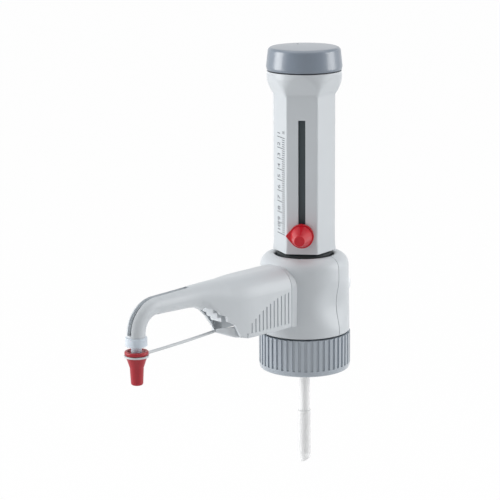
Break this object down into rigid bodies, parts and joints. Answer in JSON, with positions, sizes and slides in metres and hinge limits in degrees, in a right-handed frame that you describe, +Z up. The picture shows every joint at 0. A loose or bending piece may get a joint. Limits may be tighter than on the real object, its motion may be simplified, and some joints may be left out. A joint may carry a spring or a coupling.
{
  "type": "bottle top dispenser",
  "caption": "Bottle top dispenser: screw collar, valve block with a curved spout and capped nozzle, hexagonal sleeve that lifts a piston, volume pointer in its slot, telescopic filling tube.",
  "frame": {"origin": "on the piston axis, in the plane of the thread collar's lower mouth", "axes": "+Z up along the piston axis, out of the bottle; -X towards the spout; the pointer slot is turned 38 degrees from the spout about +Z"},
  "size_m": [0.1768, 0.055, 0.2536],
  "materials": {
    "housing_grey": "light grey moulded plastic, fine satin grain",
    "slate_grey": "blue-grey moulded plastic, satin",
    "signal_red": "red moulded plastic, half gloss",
    "black_plastic": "near-black plastic",
    "natural_white": "natural fluoropolymer, slightly translucent",
    "seal_rubber": "pale sealing material",
    "clear_glass": "clear glass",
    "spring_steel": "fine drawn wire"
  },
  "bodies": {
    "collar": {"thread_collar": "slate_grey"},
    "valve_block": {"valve_block": "natural_white", "bottle_seal": "seal_rubber", "front_cover": "housing_grey", "rear_cover": "housing_grey", "filling_valve_body": "natural_white", "filling_valve_cage": "natural_white", "filling_valve_seal": "seal_rubber", "filling_tube_upper": "natural_white", "coupling_nut": "black_plastic", "cylinder_seal": "seal_rubber", "glass_cylinder": "clear_glass", "cylinder_jacket": "natural_white", "stop_collar": "black_plastic", "spout_housing": "housing_grey", "spout_insert": "natural_white", "discharge_valve_body": "natural_white", "discharge_spring": "spring_steel", "union_nut": "natural_white", "discharge_tube": "natural_white", "nozzle": "natural_white", "strap_clip": "natural_white", "strap_arm": "natural_white"},
    "head": {"housing_sleeve": "housing_grey", "guide_tube": "black_plastic", "head_plate": "natural_white"},
    "piston": {"piston_rod": "natural_white", "piston_head": "natural_white", "piston_seal": "seal_rubber"},
    "calibration_nut": {"calibration_nut": "black_plastic"},
    "top_cap": {"top_cap": "slate_grey"},
    "pointer": {"pointer": "signal_red"},
    "pointer_knob": {"pointer_knob": "signal_red"},
    "filling_tube_lower": {"filling_tube_lower": "natural_white"},
    "filling_ball": {"filling_ball": "clear_glass"},
    "discharge_ball": {"discharge_ball": "clear_glass"},
    "strap_ring": {"strap_ring": "natural_white"},
    "spout_cap": {"spout_cap": "signal_red"},
    "vent_cap": {"vent_cap": "natural_white", "vent_seal": "seal_rubber"}
  },
  "joints": [
    {"name": "block_turn", "type": "hinge", "parent": "collar", "child": "valve_block", "pos_m": [0, 0, 0], "axis": [0, 0, 1], "continuous": true},
    {"name": "sleeve_lift", "type": "slide", "parent": "valve_block", "child": "head", "axis": [0, 0, 1], "range_m": [0, 0.064]},
    {"name": "calibration_turn", "type": "hinge", "parent": "head", "child": "calibration_nut", "pos_m": [0, 0, 0.18], "axis": [0, 0, 1], "range_deg": [0, 360]},
    {"name": "piston_trim", "type": "slide", "parent": "head", "child": "piston", "axis": [0, 0, 1], "range_m": [0, 0.001]},
    {"name": "cover_lift", "type": "slide", "parent": "head", "child": "top_cap", "axis": [0, 0, 1], "range_m": [0, 0.02]},
    {"name": "pointer_slide", "type": "slide", "parent": "head", "child": "pointer", "axis": [0, 0, 1], "range_m": [0, 0.0576]},
    {"name": "knob_turn", "type": "hinge", "parent": "pointer", "child": "pointer_knob", "pos_m": [-0.01576, -0.01231, 0.0836], "axis": [-0.788, -0.6157, 0], "range_deg": [0, 360]},
    {"name": "tube_extend", "type": "slide", "parent": "valve_block", "child": "filling_tube_lower", "axis": [0, 0, -1], "range_m": [0, 0.022]},
    {"name": "filling_ball_lift", "type": "slide", "parent": "valve_block", "child": "filling_ball", "axis": [0, 0, 1], "range_m": [0, 0.0012]},
    {"name": "discharge_ball_lift", "type": "slide", "parent": "valve_block", "child": "discharge_ball", "axis": [-1, 0, 0], "range_m": [0, 0.001], "stiffness_N_per_m": 5, "springref_m": -0.004, "deforming": ["discharge_spring"]},
    {"name": "cap_pull", "type": "slide", "parent": "valve_block", "child": "strap_ring", "axis": [0, 0, -1], "range_m": [0, 0.016], "deforming": ["strap_arm"]},
    {"name": "cap_turn", "type": "hinge", "parent": "strap_ring", "child": "spout_cap", "pos_m": [-0.1355, 0, 0.0337], "axis": [0, 0, 1], "continuous": true},
    {"name": "vent_cap_pull", "type": "slide", "parent": "valve_block", "child": "vent_cap", "axis": [1, 0, 0], "range_m": [0, 0.01]}
  ],
  "couplings": [
    {"joint": "calibration_turn", "follows": "piston_trim", "rad_per_m": 6283.2}
  ]
}
